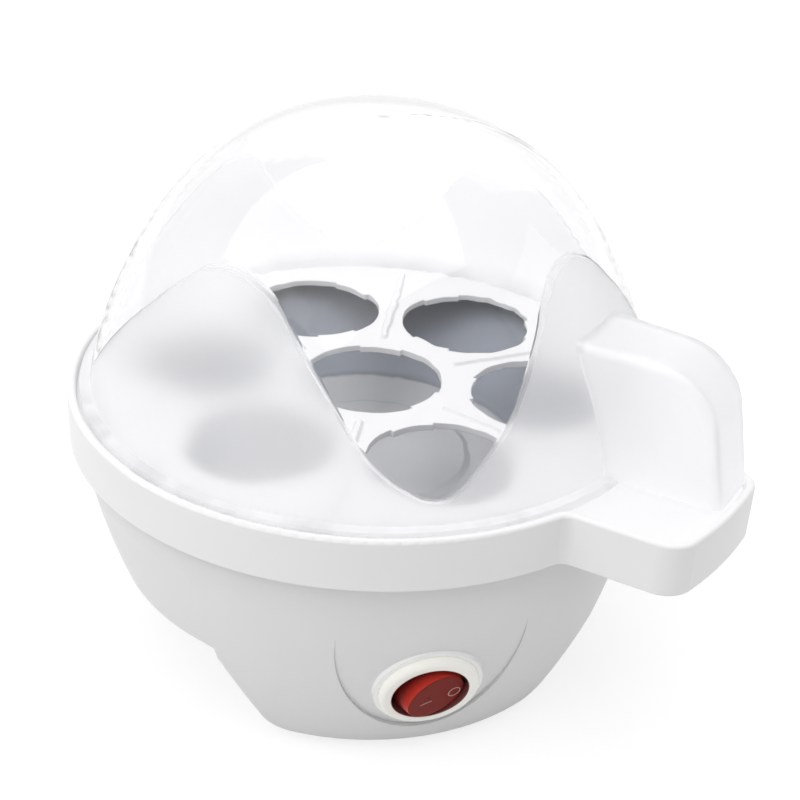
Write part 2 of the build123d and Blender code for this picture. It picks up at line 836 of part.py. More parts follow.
middle_blade_top = lever_depth + lever_pivot_radius + blade_gap
side_blade_rise = (blade_pitch + tab_thickness) * tan(radians(lever_half_tilt))
side_blade_top = lever_depth + lever_thickness / 2 + blade_gap + side_blade_rise
blade_tops = [(-blade_pitch, side_blade_top), (0, middle_blade_top), (blade_pitch, side_blade_top)]
with BuildPart() as switch_terminals:
    for place, top in blade_tops:
        with BuildSketch(switch_plane.offset(-top)):
            with Locations((place, 0)):
                Rectangle(tab_thickness, tab_width)
        extrude(amount=top - barrel_depth - blade_tail)

with BuildPart() as neon_lamp:
    with BuildSketch(switch_plane.offset(barrel_floor - barrel_depth)):
        with Locations((0, lamp_offset)):
            Circle(lamp_radius)
    extrude(amount=lamp_height)
    lamp_top = neon_lamp.faces().sort_by(Axis(switch_plane.origin, switch_plane.z_dir))[-1]
    fillet(lamp_top.edges(), lamp_radius - fit_gap)

# Terminal block on the floor of the trough
with BuildPart() as terminal_block:
    with BuildSketch(Plane.XY.offset(trough_top_z)):
        with Locations((0, block_front_y)):
            Rectangle(block_width, block_depth, align=(Align.CENTER, Align.MIN))
    extrude(amount=block_height)
    fillet(terminal_block.edges().filter_by(Axis.Z), block_round)
    with BuildSketch(Plane.XZ.offset(-block_front_y)):
        with Locations((0, pole_z)):
            with GridLocations(pole_pitch, 0, 3, 1):
                Circle(pole_hole_radius)
    extrude(amount=-block_depth, mode=Mode.SUBTRACT)
    for side in (1, -1):
        with BuildSketch(Plane.YZ.offset(side * pole_pitch)):
            with Locations((element_end_y, pole_z)):
                Circle(lead_radius + hole_gap)
        extrude(amount=side * block_width, mode=Mode.SUBTRACT)
    with BuildSketch(Plane.XY.offset(pole_z)):
        with Locations((0, block_front_y + lead_entry / 2)):
            with GridLocations(pole_pitch, 0, 3, 1):
                Circle(pole_screw_radius + fit_gap)
    extrude(amount=block_height, mode=Mode.SUBTRACT)

with BuildPart() as terminal_screws:
    with BuildSketch(Plane.XY.offset(pole_z + lead_radius + fit_gap)):
        with Locations((0, block_front_y + lead_entry / 2)):
            with GridLocations(pole_pitch, 0, 3, 1):
                Circle(pole_screw_radius)
    extrude(amount=block_height - pole_height)

# Earth joint under the clamp bar
with BuildPart() as earth_lug:
    with BuildSketch(Plane.XY.offset(bar_under_z)):
        with Locations((lug_offset, 0)):
            Circle(lug_radius)
            Rectangle(lug_tongue_width, lug_tongue_reach, align=(Align.CENTER, Align.MIN))
            Circle(screw_radius + hole_gap, mode=Mode.SUBTRACT)
    extrude(amount=-lug_sheet)

with BuildPart() as earth_screw:
    with BuildSketch(Plane.XY.offset(bar_under_z - lug_sheet)):
        with Locations((lug_offset, 0)):
            Circle(screw_head_radius)
    extrude(amount=-screw_head_height)
    with BuildSketch(Plane.XY.offset(bar_under_z - lug_sheet)):
        with Locations((lug_offset, 0)):
            Circle(screw_radius)
    extrude(amount=lug_sheet + 2 * bar_height)


def lead(points):
    """Insulated wire along straight runs with round bends."""
    with BuildPart() as wire:
        with BuildLine() as route:
            FilletPolyline(*points, radius=lead_bend)
        with BuildSketch(Plane(origin=route.line @ 0, z_dir=route.line % 0)):
            Circle(lead_radius)
        sweep()
    return wire.part


def blade_end(place):
    """End of a switch blade, and a point straight behind it."""
    end = switch_point(place, 0, barrel_depth + blade_tail)
    behind = switch_point(place, 0, barrel_depth + 3 * blade_tail)
    return end, behind


def pole_lead(place, blade_place):
    """Lead from a pole of the terminal block, along the trough, up to a switch blade."""
    end, behind = blade_end(blade_place)
    floor_end = (blade_place, behind.Y + (behind.Z - pole_z) / 2, pole_z)
    return lead([(place, block_front_y + lead_entry, pole_z), floor_end, behind, end])


# Inner leads
lead_under_bar_z = bar_under_z - nut_height - 2 * lead_radius
lead_back_y = fuse_length / 2 + 3 * lead_bend
supply_lead = pole_lead(0, 0)
lamp_lead = pole_lead(-pole_pitch, -blade_pitch)
load_end, load_behind = blade_end(blade_pitch)
switched_lead = lead(
    [
        load_end,
        load_behind,
        (fuse_offset, -lead_back_y, lead_under_bar_z),
        (fuse_offset, lead_back_y, lead_under_bar_z),
        (fuse_offset, lead_back_y, fuse_z),
        (fuse_offset, fuse_length / 2 + fuse_pin_length + fit_gap, fuse_z),
    ]
)
tab_end = thermostat_radius + tab_reach
fuse_lead = lead(
    [
        (fuse_offset, -fuse_length / 2 - fuse_pin_length - fit_gap, fuse_z),
        (fuse_offset, -tab_end - 1.5 * lead_bend, fuse_z),
        (0, -tab_end - 1.5 * lead_bend, fuse_z),
        (0, -tab_end, fuse_z),
    ]
)
heater_low_z = pin_end_z - 2 * lead_bend
heater_lead = lead(
    [
        (0, tab_end, fuse_z),
        (0, tab_end + 2 * lead_bend, fuse_z),
        (0, tab_end + 2 * lead_bend, heater_low_z),
        (element_end_x, element_end_y, heater_low_z),
        (element_end_x, element_end_y, pin_end_z),
    ]
)
side_entry_x = block_width / 2 - lead_radius
neutral_lead = lead(
    [
        (-side_entry_x, element_end_y, pole_z),
        (-element_end_x, element_end_y, pole_z),
        (-element_end_x, element_end_y, pin_end_z),
    ]
)
earth_x = trough_half_width - cover_sheet - lead_radius - earth_lead_gap
earth_z = bar_under_z - lug_sheet / 2
earth_lead = lead(
    [
        (side_entry_x, element_end_y, pole_z),
        (earth_x, element_end_y, pole_z),
        (earth_x, element_end_y, earth_z - 1.5 * lead_bend),
        (lug_offset, element_end_y, earth_z),
        (lug_offset, lug_tongue_reach, earth_z),
    ]
)

# Cord gland
with BuildPart() as cord_gland:
    with BuildSketch(gland_plane.offset(gland_boss_rise)):
        Circle(gland_flange_radius)
    extrude(amount=gland_flange_height)
    with BuildSketch(gland_plane.offset(gland_boss_rise)):
        Circle(gland_barrel_radius)
    extrude(amount=-gland_boss_rise - gland_boss_depth - gland_lip_height)
    with BuildSketch(gland_plane.offset(-gland_boss_depth)):
        Circle(gland_barrel_radius + gland_lip_rise)
    extrude(amount=-gland_lip_height)
    with BuildSketch(gland_plane.offset(gland_boss_rise + gland_flange_height)):
        Circle(gland_bore_radius)
    extrude(amount=-far / 8, mode=Mode.SUBTRACT)


def ring_sector(inner, outer, middle_angle, half_angle):
    """Closed outline of a piece of a flat ring."""
    with BuildLine() as sector:
        low_arc = CenterArc((0, 0), inner, middle_angle - half_angle, 2 * half_angle)
        high_arc = CenterArc((0, 0), outer, middle_angle - half_angle, 2 * half_angle)
        Line(low_arc @ 0, high_arc @ 0)
        Line(low_arc @ 1, high_arc @ 1)
    return sector.line


def ear_half_width(along):
    """Half the width of the tray's ear at a distance from the axis."""
    return tray_ear_half_width - tray_ear_taper * (along - tray_radius)


# Outline of the tray: a disc with one tapered ear, whose end is round about the axis
with BuildSketch(level_plane(tray_ear_angle, 0)) as tray_outline:
    ear_end_half_width = ear_half_width(tray_ear_radius)
    ear_corner_along = sqrt(tray_ear_radius**2 - ear_end_half_width**2)
    with BuildLine():
        Polyline(
            (ear_corner_along, -ear_end_half_width),
            (0, -ear_half_width(0)),
            (0, ear_half_width(0)),
            (ear_corner_along, ear_end_half_width),
        )
        ThreePointArc(
            (ear_corner_along, ear_end_half_width),
            (tray_ear_radius, 0),
            (ear_corner_along, -ear_end_half_width),
        )
    make_face()
    Circle(tray_radius)
    ear_corners = tray_outline.vertices().group_by(lambda v: round(hypot(v.X, v.Y), 2))
    fillet(ear_corners[-1], tray_ear_corner)
    fillet(
        tray_outline.vertices().filter_by(lambda v: abs(hypot(v.X, v.Y) - tray_radius) < tray_wall / 100),
        tray_ear_root,
    )

with BuildSketch(level_plane(tray_ear_angle, 0)) as tray_inside:
    add(tray_outline.sketch_local)
    offset(amount=-tray_wall, kind=Kind.INTERSECTION, mode=Mode.REPLACE)

hole_angles = [hole_turn + 360 / hole_count * k for k in range(hole_count)]
hole_seats = [(level_plane(angle, plate_z, hole_circle_radius), 180) for angle in hole_angles]
hole_seats.append((level_plane(hole_turn, plate_z), 90))

with BuildPart() as egg_tray:
    with BuildSketch(Plane.XY.offset(tray_skirt_z)):
        add(tray_outline.sketch)
    extrude(amount=tray_top_z - tray_skirt_z)
    with BuildSketch(Plane.XY.offset(plate_z)):
        add(tray_inside.sketch)
    extrude(amount=tray_rim_rise, mode=Mode.SUBTRACT)
    with BuildSketch(Plane.XY.offset(rim_z)):
        add(tray_inside.sketch)
    extrude(amount=tray_skirt_z - rim_z, mode=Mode.SUBTRACT)
    fillet(egg_tray.faces().sort_by(Axis.Z)[-1].edges(), tray_edge_round)
    for angle in hole_angles:
        bead_middle = (bead_inner_radius + bead_outer_radius) / 2
        with BuildSketch(level_plane(angle + 180 / hole_count, plate_z, bead_middle)):
            SlotOverall(bead_outer_radius - bead_inner_radius, bead_width)
        extrude(amount=bead_rise, taper=30)
    tab_inner_radius = hole_radius - tab_inward
    tab_outer_radius = hole_radius + tab_inward
    for seat, first_tab in hole_seats:
        with BuildSketch(seat):
            Circle(hole_radius)
            for k in range(3):
                with BuildLine():
                    tab_angle = first_tab + 360 / 3 * k
                    add(ring_sector(tab_inner_radius, tab_outer_radius, tab_angle, tab_half_angle))
                make_face(mode=Mode.SUBTRACT)
        extrude(amount=-plate_thickness, mode=Mode.SUBTRACT)


def ear_body(inset, under_z):
    """Ear of the lid as a full body, drawn in by inset all round."""
    reach = lid_ear_reach - inset
    top_z = lid_ear_top_z - inset
    with BuildPart() as body:
        with BuildSketch(radial_plane(lid_ear_angle)):
            with BuildLine():
                lean = lid_ear_lean / (lid_ear_top_z - lid_ear_under_z)
                Polyline(
                    (0, under_z),
                    (reach + lean * (lid_ear_under_z - under_z), under_z),
                    (reach - lean * (top_z - lid_ear_under_z), top_z),
                    (0, top_z),
                    close=True,
                )
            profile = make_face()
            shoulder = profile.vertices().group_by(Axis.Z)[-1].sort_by(lambda v: hypot(v.X, v.Y))[-1]
            fillet(shoulder, lid_ear_shoulder - inset)
        extrude(amount=far / 4, both=True)
        with BuildSketch(level_plane(lid_ear_angle, under_z)):
            end_half_width = lid_ear_end_half_width - inset
            far_reach = 2 * lid_ear_reach
            with BuildLine():
                Polyline(
                    (0, end_half_width + lid_ear_taper * lid_ear_reach),
                    (far_reach, end_half_width + lid_ear_taper * (lid_ear_reach - far_reach)),
                    (far_reach, -end_half_width - lid_ear_taper * (lid_ear_reach - far_reach)),
                    (0, -end_half_width - lid_ear_taper * lid_ear_reach),
                    close=True,
                )
            make_face()
        extrude(amount=top_z - under_z, mode=Mode.INTERSECT)
        side_faces = body.faces().filter_by(lambda f: abs(f.normal_at().Z) < 0.01).sort_by(SortBy.AREA)[-2:]
        outside_edges = [
            e
            for f in side_faces
            for e in f.edges()
            if e.center().Z > under_z + lid_ear_edge_round
            and hypot(e.center().X, e.center().Y) > lid_ear_edge_round
        ]
        fillet(outside_edges, lid_ear_edge_round - min(inset, lid_ear_edge_round / 2))
    return body.part


with BuildPart() as dome_middle:
    with BuildSketch(Plane.XZ):
        with BuildLine():
            Spline(*dome_points(lid_base_radius - lid_wall / 2, lid_height - lid_wall / 2))
            Polyline((0, dome_z + lid_height - lid_wall / 2), (0, 0), (lid_base_radius - lid_wall / 2, 0))
            Line((lid_base_radius - lid_wall / 2, 0), (lid_base_radius - lid_wall / 2, dome_z))
        make_face()
    revolve(axis=Axis.Z)

with BuildPart() as lid:
    add(ear_body(0, lid_ear_under_z))
    add(ear_body(lid_wall, lid_ear_under_z - lid_wall), mode=Mode.SUBTRACT)
    add(dome_middle.part, mode=Mode.SUBTRACT)
    with BuildSketch(Plane.XZ):
        with BuildLine():
            Spline(*dome_points(lid_base_radius, lid_height))
            Line((0, dome_z + lid_height), (0, dome_z + lid_height - lid_wall))
            Spline(*dome_points(lid_base_radius - lid_wall, lid_height - lid_wall))
            Polyline(
                (lid_base_radius - lid_wall, dome_z),
                (lid_base_radius - lid_wall, plate_z),
                (lid_flange_radius, plate_z),
                (lid_flange_radius, dome_z),
                (lid_base_radius, dome_z),
            )
        make_face()
    revolve(axis=Axis.Z)

pieces = {
    "base_shell": base_shell.part,
    "bottom_cover": bottom_cover.part,
    "cover_screws": cover_screws.part,
    "rubber_feet": rubber_feet.part,
    "heater_pan": heater_pan.part,
    "pan_seal": pan_seal.part,
    "heat_spreader": heat_spreader.part,
    "heating_element": heating_element.part,
    "element_pins": element_pins.part,
    "clamp_bar": clamp_bar.part,
    "clamp_screws": clamp_screws.part,
    "stud_nuts": stud_nuts.part,
    "thermostat": thermostat.part,
    "thermal_fuse": thermal_fuse.part,
    "fuse_clip": fuse_clip.part,
    "switch_housing": switch_housing.part,
    "switch_rocker": switch_rocker.part,
    "switch_plunger": switch_plunger.part,
    "plunger_spring": plunger_spring.part,
    "contact_lever": contact_lever.part,
    "switch_terminals": switch_terminals.part,
    "neon_lamp": neon_lamp.part,
    "terminal_block": terminal_block.part,
    "terminal_screws": terminal_screws.part,
    "earth_lug": earth_lug.part,
    "earth_screw": earth_screw.part,
    "supply_lead": supply_lead,
    "lamp_lead": lamp_lead,
    "switched_lead": switched_lead,
    "fuse_lead": fuse_lead,
    "heater_lead": heater_lead,
    "neutral_lead": neutral_lead,
    "earth_lead": earth_lead,
    "cord_gland": cord_gland.part,
    "egg_tray": egg_tray.part,
    "lid": lid.part,
}

os.makedirs("parts", exist_ok=True)
for name, piece in pieces.items():
    piece.label = name
    export_step(piece, f"parts/{name}.step")
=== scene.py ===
import json
from math import cos, pi, radians, sin

import bmesh
import bpy
from mathutils import Matrix, Vector
from mathutils.bvhtree import BVHTree


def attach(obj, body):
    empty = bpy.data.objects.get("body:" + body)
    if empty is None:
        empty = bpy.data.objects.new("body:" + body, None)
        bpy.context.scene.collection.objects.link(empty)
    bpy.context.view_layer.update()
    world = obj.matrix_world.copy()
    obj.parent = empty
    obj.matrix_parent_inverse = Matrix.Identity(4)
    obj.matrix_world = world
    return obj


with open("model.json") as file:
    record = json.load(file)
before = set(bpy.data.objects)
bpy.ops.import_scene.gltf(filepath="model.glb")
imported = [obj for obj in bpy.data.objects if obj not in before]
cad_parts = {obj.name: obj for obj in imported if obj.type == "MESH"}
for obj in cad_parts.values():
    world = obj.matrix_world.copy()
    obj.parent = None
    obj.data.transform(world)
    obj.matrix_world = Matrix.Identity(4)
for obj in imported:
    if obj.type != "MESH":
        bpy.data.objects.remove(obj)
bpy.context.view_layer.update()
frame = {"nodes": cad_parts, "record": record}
nodes = frame["nodes"]
scene = bpy.context.scene


# Shader helpers
def start(name):
    made = bpy.data.materials.new(name)
    made.use_nodes = True
    made.node_tree.nodes.clear()
    return made, made.node_tree


def add(tree, kind, *values, settings=None, **inputs):
    """Add a node, with values or links for its inputs in order or by name."""
    made = tree.nodes.new("ShaderNode" + kind)
    for key, value in (settings or {}).items():
        setattr(made, key, value)
    given = [(made.inputs[i], value) for i, value in enumerate(values)]
    given += [(made.inputs[key.replace("_", " ")], value) for key, value in inputs.items()]
    for socket, value in given:
        if isinstance(value, bpy.types.NodeSocket):
            tree.links.new(value, socket)
        else:
            socket.default_value = value
    return made


def end(tree, shader):
    add(tree, "OutputMaterial", Surface=shader)


def maths(tree, operation, *values):
    return add(tree, "Math", *values, settings={"operation": operation}).outputs[0]


def vector_maths(tree, operation, *values):
    made = add(tree, "VectorMath", *values, settings={"operation": operation})
    return made.outputs["Value" if operation in ("DOT_PRODUCT", "LENGTH") else "Vector"]


def ramp(tree, value, first, last, at_first=0.0, at_last=1.0):
    """Go from at_first to at_last while the value goes from first to last."""
    return add(
        tree, "MapRange", Value=value, From_Min=first, From_Max=last, To_Min=at_first, To_Max=at_last
    ).outputs[0]


def object_point(tree):
    return add(tree, "TexCoord").outputs["Object"]


def noise(tree, scale, detail=3.0, stretch=None):
    where = object_point(tree)
    if stretch:
        where = add(tree, "Mapping", Vector=where, Scale=stretch).outputs[0]
    return add(tree, "TexNoise", Vector=where, Scale=scale, Detail=detail).outputs[0]


noise_low, noise_high = 0.2, 0.8


def spread(tree, value, low, high):
    """Stretch a noise over the range from low to high."""
    return ramp(tree, value, noise_low, noise_high, low, high)


def blend(tree, share, first, second):
    """Mix two colours; of the Mix node, 0 is the factor and 6 and 7 are the colours."""
    made = add(tree, "Mix", settings={"data_type": "RGBA"})
    for index, value in ((0, share), (6, first), (7, second)):
        if isinstance(value, bpy.types.NodeSocket):
            tree.links.new(value, made.inputs[index])
        else:
            made.inputs[index].default_value = value
    return made.outputs[2]


def shade(colour, factor):
    return tuple(min(channel * factor, 1.0) for channel in colour) + (1.0,)


def soft_edge(tree, radius):
    return add(tree, "Bevel", settings={"samples": 6}, Radius=radius).outputs[0]


# Materials of many pieces
mottle_scale, flow_scale, stain_scale = 38.0, 24.0, 55.0
grain_strength = 0.5
plastic_rough_swing = 0.02
metal_rough_below, metal_rough_above = 0.06, 0.08


def plastic(
    name, colour, rough, tone=0.03, grain_scale=2200.0, grain=0.00003, edge=0.0004, patch=None, **extra
):
    """Moulded plastic; a patch gives a share of the surface another colour, used for painted highlight
    and painted shade.
    """
    made, tree = start(name)
    mottle = noise(tree, mottle_scale, 4.0)
    fine = noise(tree, grain_scale, 2.0)
    flow = noise(tree, flow_scale, 2.0)
    bump = add(
        tree, "Bump", Strength=grain_strength, Distance=grain, Height=fine, Normal=soft_edge(tree, edge)
    )
    tint = blend(tree, mottle, shade(colour, 1 - tone), shade(colour, 1 + tone))
    if patch:
        patch_share, patch_colour = patch
        tint = blend(tree, patch_share(tree), tint, shade(patch_colour, 1.0))
    shader = add(
        tree,
        "BsdfPrincipled",
        Base_Color=tint,
        Roughness=spread(tree, flow, rough - plastic_rough_swing, rough + plastic_rough_swing),
        Normal=bump.outputs[0],
        **extra,
    )
    end(tree, shader.outputs[0])
    return made


def metal(name, colour, rough, stretch=(1, 1, 1), lines=900.0, tone=0.06, depth=0.00002, edge=0.0003):
    """Drawn or turned metal with fine lines and slight stains."""
    made, tree = start(name)
    drawn = noise(tree, lines, 3.0, stretch)
    stain = noise(tree, stain_scale, 4.0)
    bump = add(
        tree, "Bump", Strength=grain_strength, Distance=depth, Height=drawn, Normal=soft_edge(tree, edge)
    )
    shader = add(
        tree,
        "BsdfPrincipled",
        Base_Color=blend(tree, stain, shade(colour, 1 - tone), shade(colour, 1 + tone)),
        Metallic=1.0,
        Roughness=spread(tree, drawn, rough - metal_rough_below, rough + metal_rough_above),
        Normal=bump.outputs[0],
    )
    end(tree, shader.outputs[0])
    return made


def glass(name, colour, rough):
    made, tree = start(name)
    cloud = noise(tree, 400.0, 2.0)
    shader = add(
        tree,
        "BsdfPrincipled",
        Base_Color=blend(tree, cloud, shade(colour, 0.94), shade(colour, 1.0)),
        Roughness=spread(tree, cloud, rough, rough + 0.05),
        IOR=1.5,
        Transmission_Weight=1.0,
    )
    end(tree, shader.outputs[0])
    return made


# Lid: frosted below a wave, given as angle in degrees and height in mm, and clear above it
wave_points = (
    (-180, 87.5), (-171, 101.5), (-163, 112), (-155, 121), (-147.5, 125.9), (-141, 126.6),
    (-134, 125.3), (-129, 123.4), (-122.6, 118.1), (-117, 112), (-112, 105.5), (-107, 97.5),
    (-102, 91.2), (-96.6, 86.6), (-91.5, 84.4), (-88, 86), (-83.6, 91), (-76.9, 98.8),
    (-72.3, 106.3), (-65.9, 115.5), (-58.9, 123.4), (-52, 126.8), (-46, 127.5), (-40, 126),
    (-30, 117), (-20, 102), (-12, 90), (-5, 84.4), (3, 90), (11, 102), (20, 116), (28, 124),
    (36, 126.6), (44, 124), (53, 116), (62, 102), (72, 90), (81, 84.4), (90, 90), (100, 102),
    (110, 116), (118, 124), (126, 126.6), (134, 124), (144, 114), (154, 101), (164, 89),
    (172, 84.4), (180, 87.5),
)
wave_low, wave_high = 80.0, 140.0
wave_span = wave_high - wave_low
wave_blur = 0.0004
lid_rim_z, lid_rim_end_z = 0.0788, 0.0812


def frosted_share(tree):
    x, y, z = add(tree, "SeparateXYZ", object_point(tree)).outputs
    turn = maths(tree, "ARCTAN2", y, x)
    along = maths(tree, "MULTIPLY_ADD", turn, 0.5 / pi, 0.5)
    curve = add(tree, "FloatCurve", Factor=1.0, Value=along)
    points = curve.mapping.curves[0].points
    placed = [((a + 180) / 360, (h - wave_low) / wave_span) for a, h in wave_points]
    points[0].location, points[1].location = placed[0], placed[-1]
    for at, height in placed[1:-1]:
        points.new(at, height)
    curve.mapping.update()
    edge = maths(tree, "MULTIPLY_ADD", curve.outputs[0], wave_span / 1000, wave_low / 1000)
    above = maths(tree, "SUBTRACT", z, edge)
    return ramp(tree, above, -wave_blur, wave_blur, 1.0, 0.0)


def clear_lid():
    made, tree = start("lid_clear")
    frost = frosted_share(tree)
    ripple = noise(tree, 28.0, 2.0)
    speck = noise(tree, 3200.0, 2.0)
    step = add(tree, "Bump", Strength=0.4, Distance=0.00025, Height=frost, Normal=soft_edge(tree, 0.0005))
    waved = add(tree, "Bump", Strength=0.05, Distance=0.0006, Height=ripple, Normal=step.outputs[0])
    etched = maths(tree, "MULTIPLY", frost, speck)
    bump = add(tree, "Bump", Strength=0.4, Distance=0.00003, Height=etched, Normal=waved.outputs[0])
    clear = add(
        tree,
        "BsdfPrincipled",
        Base_Color=blend(tree, frost, (0.974, 0.974, 0.98, 1), (0.99, 0.99, 0.995, 1)),
        Roughness=ramp(tree, frost, 0.0, 1.0, 0.025, 0.3),
        IOR=1.46,
        Transmission_Weight=1.0,
        Normal=bump.outputs[0],
    )
    back_lit = add(tree, "BsdfTranslucent", Color=(0.97, 0.97, 0.98, 1))
    front_lit = add(tree, "BsdfDiffuse", Color=(0.97, 0.97, 0.98, 1))
    haze = add(tree, "MixShader", 0.5, back_lit.outputs[0], front_lit.outputs[0])
    frost_haze = ramp(tree, frost, 0.0, 1.0, 0.0, 0.3)
    height = add(tree, "SeparateXYZ", object_point(tree)).outputs[2]
    rim_haze = ramp(tree, height, lid_rim_z, lid_rim_end_z, 0.7, 0.0)
    haze_share = maths(tree, "MAXIMUM", frost_haze, rim_haze)
    shader = add(tree, "MixShader", haze_share, clear.outputs[0], haze.outputs[0])
    # Light for the pieces under the lid passes straight through it
    passing = add(tree, "BsdfTransparent", Color=(0.97, 0.97, 0.975, 1))
    path = add(tree, "LightPath").outputs
    inside = add(tree, "MixShader", path["Is Diffuse Ray"], shader.outputs[0], passing.outputs[0])
    lit = add(tree, "MixShader", path["Is Shadow Ray"], inside.outputs[0], passing.outputs[0])
    end(tree, lit.outputs[0])
    return made


# Water pan: a pale floor out to where the bend of the wall starts, and a wall darkened with painted shade
pan_floor_end, pan_wall_start = 0.0436, 0.045


def spun_steel():
    made, tree = start("pan_steel")
    x, y, z = add(tree, "SeparateXYZ", object_point(tree)).outputs
    x_squared = maths(tree, "MULTIPLY", x, x)
    y_squared = maths(tree, "MULTIPLY", y, y)
    radius = maths(tree, "SQRT", maths(tree, "ADD", x_squared, y_squared))
    along = maths(tree, "ADD", radius, z)
    lines = add(tree, "TexNoise", settings={"noise_dimensions": "1D"}, W=along, Scale=1400.0, Detail=3.0)
    stain = noise(tree, 30.0, 3.0)
    on_floor = ramp(tree, radius, pan_floor_end, pan_wall_start, 1.0, 0.0)
    # Painted shade on the wall, slightly bluish, with stains varying it
    wall_shade_and_stain = blend(tree, stain, (0.19, 0.207, 0.245, 1), (0.23, 0.247, 0.285, 1))
    floor_tint = blend(tree, stain, (0.5, 0.505, 0.52, 1), (0.57, 0.575, 0.59, 1))
    shader = add(
        tree,
        "BsdfPrincipled",
        Base_Color=blend(tree, on_floor, wall_shade_and_stain, floor_tint),
        Metallic=0.3,
        Roughness=spread(tree, lines.outputs[0], 0.46, 0.54),
    )
    end(tree, shader.outputs[0])
    return made


# Switch: its hinge, its lean, the way the pressed rocker faces, and the reach of its regions
switch_hinge = Vector((0.0, -0.071595, 0.027265))
switch_tilt = radians(16.0)
switch_across = Vector((1, 0, 0))
switch_up = Vector((0, -sin(switch_tilt), cos(switch_tilt)))
switch_out = Vector((0, -cos(switch_tilt), -sin(switch_tilt)))
rocker_tilt = radians(16.0)
rocker_out = switch_across * sin(rocker_tilt) + switch_out * cos(rocker_tilt)
bore_end, bezel_start = 0.01, 0.0102
boss_end, shell_start = 0.0141, 0.0144
front_end_y, back_start_y = -0.03, -0.02
rocker_middle_end, rocker_side_start = 0.003, 0.005
# Heights over the hinge where the rocker walls go from painted shade to a painted highlight
highlight_low_rise, highlight_high_rise = 0.0012, 0.004


def from_hinge(tree):
    return vector_maths(tree, "SUBTRACT", object_point(tree), tuple(switch_hinge))


def from_switch_axis(tree):
    across = vector_maths(tree, "CROSS_PRODUCT", from_hinge(tree), tuple(switch_out))
    return vector_maths(tree, "LENGTH", across)


# Painted shade: the bore of the bezel round the rocker is given a dark red-brown, with a painted red
# reflection
def bore_painted_shade(tree):
    return ramp(tree, from_switch_axis(tree), bore_end, bezel_start, 1.0, 0.0)


# Painted highlight: the boss round the switch, on the front only, is given a lighter colour
def boss_painted_highlight(tree):
    near = ramp(tree, from_switch_axis(tree), boss_end, shell_start, 1.0, 0.0)
    y = add(tree, "SeparateXYZ", object_point(tree)).outputs[1]
    front = ramp(tree, y, front_end_y, back_start_y, 1.0, 0.0)
    return maths(tree, "MULTIPLY", near, front)


def rocker_red():
    """Red plastic, dark on the face; its walls carry painted shade low down and a painted highlight where
    they meet the face.
    """
    made, tree = start("rocker_red")
    normal = add(tree, "TexCoord").outputs["Normal"]
    facing = vector_maths(tree, "DOT_PRODUCT", normal, tuple(rocker_out))
    level = ramp(tree, facing, 0.8, 0.97)
    middle = ramp(tree, from_switch_axis(tree), rocker_middle_end, rocker_side_start, 1.0, 0.0)
    on_face = maths(tree, "MAXIMUM", level, middle)
    rise = vector_maths(tree, "DOT_PRODUCT", from_hinge(tree), tuple(rocker_out))
    ridge_highlight_share = ramp(tree, rise, highlight_low_rise, highlight_high_rise)
    cloud = noise(tree, 160.0, 3.0)
    fine = noise(tree, 1800.0, 2.0)
    face_red = blend(tree, cloud, (0.16, 0.013, 0.008, 1), (0.2, 0.017, 0.011, 1))
    # Painted light on the walls: painted shade low down, a painted highlight near the ridge
    wall_shade_and_highlight = blend(tree, ridge_highlight_share, (0.11, 0.008, 0.006, 1), (0.48, 0.036, 0.025, 1))
    bump = add(tree, "Bump", Strength=0.4, Distance=0.00003, Height=fine, Normal=soft_edge(tree, 0.0007))
    shader = add(
        tree,
        "BsdfPrincipled",
        Base_Color=blend(tree, on_face, wall_shade_and_highlight, face_red),
        Roughness=spread(tree, cloud, 0.24, 0.34),
        IOR=1.5,
        Specular_IOR_Level=0.03,
        Subsurface_Weight=0.3,
        Subsurface_Radius=(1.0, 0.12, 0.08),
        Subsurface_Scale=0.003,
        Normal=bump.outputs[0],
    )
    end(tree, shader.outputs[0])
    return made


plastics = {
    "shell_white": dict(
        colour=(0.74, 0.74, 0.74),
        rough=0.42,
        tone=0.012,
        # painted highlight on the boss round the switch
        patch=(boss_painted_highlight, (0.96, 0.96, 0.955)),
        Specular_IOR_Level=0.3,
    ),
    "tray_white": dict(
        colour=(0.805, 0.805, 0.81), rough=0.3, tone=0.01, grain=0.00002, Specular_IOR_Level=0.35
    ),
    "cover_white": dict(
        colour=(0.76, 0.76, 0.75), rough=0.52, tone=0.02, grain_scale=1500.0, grain=0.00006
    ),
    "foot_rubber": dict(
        colour=(0.05, 0.05, 0.05), rough=0.72, tone=0.15, grain_scale=900.0, grain=0.0001
    ),
    "seal_silicone": dict(colour=(0.74, 0.71, 0.66), rough=0.6, tone=0.05),
    "thermostat_black": dict(colour=(0.03, 0.027, 0.025), rough=0.5, tone=0.2),
    "bezel_cream": dict(
        colour=(0.94, 0.928, 0.875),
        rough=0.22,
        tone=0.012,
        grain=0.00002,
        edge=0.0007,
        # painted shade and painted red reflection in the bore
        patch=(bore_painted_shade, (0.25, 0.075, 0.07)),
    ),
    "block_white": dict(colour=(0.78, 0.77, 0.74), rough=0.42, tone=0.03),
    "wire_brown": dict(colour=(0.16, 0.06, 0.025), rough=0.45, tone=0.08),
    "wire_blue": dict(colour=(0.03, 0.12, 0.42), rough=0.45, tone=0.08),
    "wire_white": dict(colour=(0.78, 0.78, 0.76), rough=0.5, tone=0.04),
    "wire_earth": dict(colour=(0.1, 0.42, 0.06), rough=0.45, tone=0.08),
    "gland_white": dict(colour=(0.78, 0.78, 0.77), rough=0.45, tone=0.02),
}
